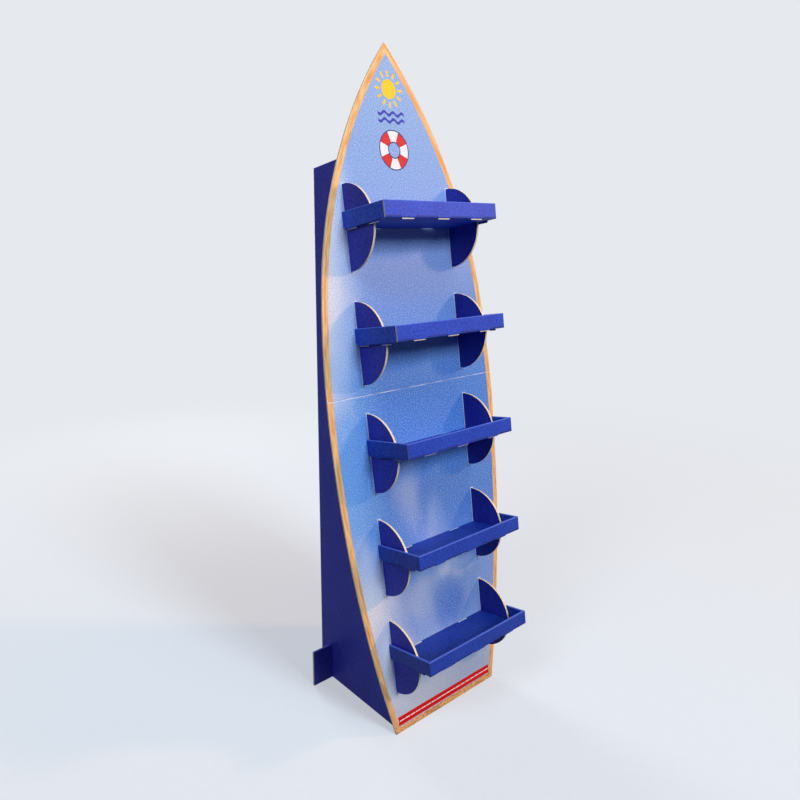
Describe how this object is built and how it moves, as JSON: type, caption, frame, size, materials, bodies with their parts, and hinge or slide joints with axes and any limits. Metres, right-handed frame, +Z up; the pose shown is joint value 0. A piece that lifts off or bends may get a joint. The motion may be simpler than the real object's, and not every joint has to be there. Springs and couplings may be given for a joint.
{
  "type": "cardboard display stand",
  "caption": "Tall leaning cardboard floor display with a pointed printed front panel, shallow folded shelf trays held on half-round lobes, and a folded back frame.",
  "frame": {"origin": "on the floor, under the middle of the whole stand's box", "axes": "+Z up, the trays face -Y, +X to the right as seen from the front"},
  "size_m": [0.531, 0.4358, 1.5757],
  "materials": {
    "panel_print": "matt sky-blue print with a wood-look border on corrugated board, raw cut edges",
    "navy_board": "matt navy print on corrugated board, raw cut edges",
    "tray_board": "matt royal-blue print on thin corrugated board"
  },
  "bodies": {
    "root": {"front_panel": "panel_print", "back_frame": "navy_board", "cross_brace": "navy_board", "shelf_tray_1": "tray_board", "shelf_tray_2": "tray_board", "shelf_tray_3": "tray_board", "shelf_tray_4": "tray_board", "shelf_tray_5": "tray_board"}
  },
  "joints": []
}
